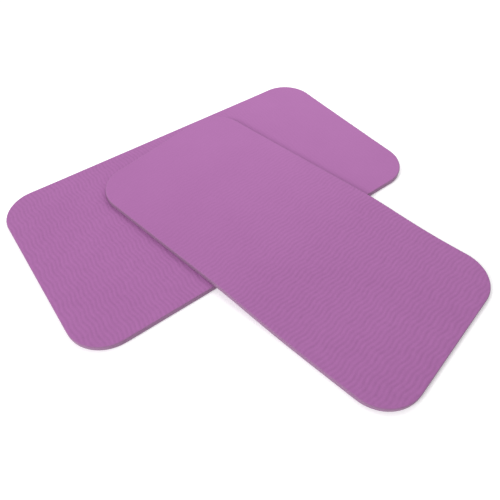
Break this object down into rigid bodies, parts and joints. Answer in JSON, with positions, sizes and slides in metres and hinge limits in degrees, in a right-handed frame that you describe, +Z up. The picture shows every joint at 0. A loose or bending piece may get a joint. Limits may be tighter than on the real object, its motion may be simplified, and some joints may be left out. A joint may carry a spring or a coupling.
{
  "type": "kneeling pad",
  "caption": "Flat closed-cell foam kneeling mats with rounded corners and a fine wavy embossed face, lying crosswise on each other; the upper mat lifts off.",
  "frame": {"origin": "on the ground, under the middle of the lower pad", "axes": "+X along the lower pad's length, +Y away from the upper pad's free end, +Z up from the ground"},
  "size_m": [0.6, 0.6025, 0.0163],
  "materials": {
    "foam": "matt closed-cell foam, mauve, with a shallow wavy rib embossed in the faces and cut side walls"
  },
  "bodies": {
    "lower_pad": {"lower_pad": "foam"},
    "upper_pad": {"upper_pad": "foam"}
  },
  "joints": [
    {"name": "upper_pad_lift", "type": "slide", "parent": "lower_pad", "child": "upper_pad", "axis": [0, 0, 1], "range_m": [0, 0.25]}
  ]
}
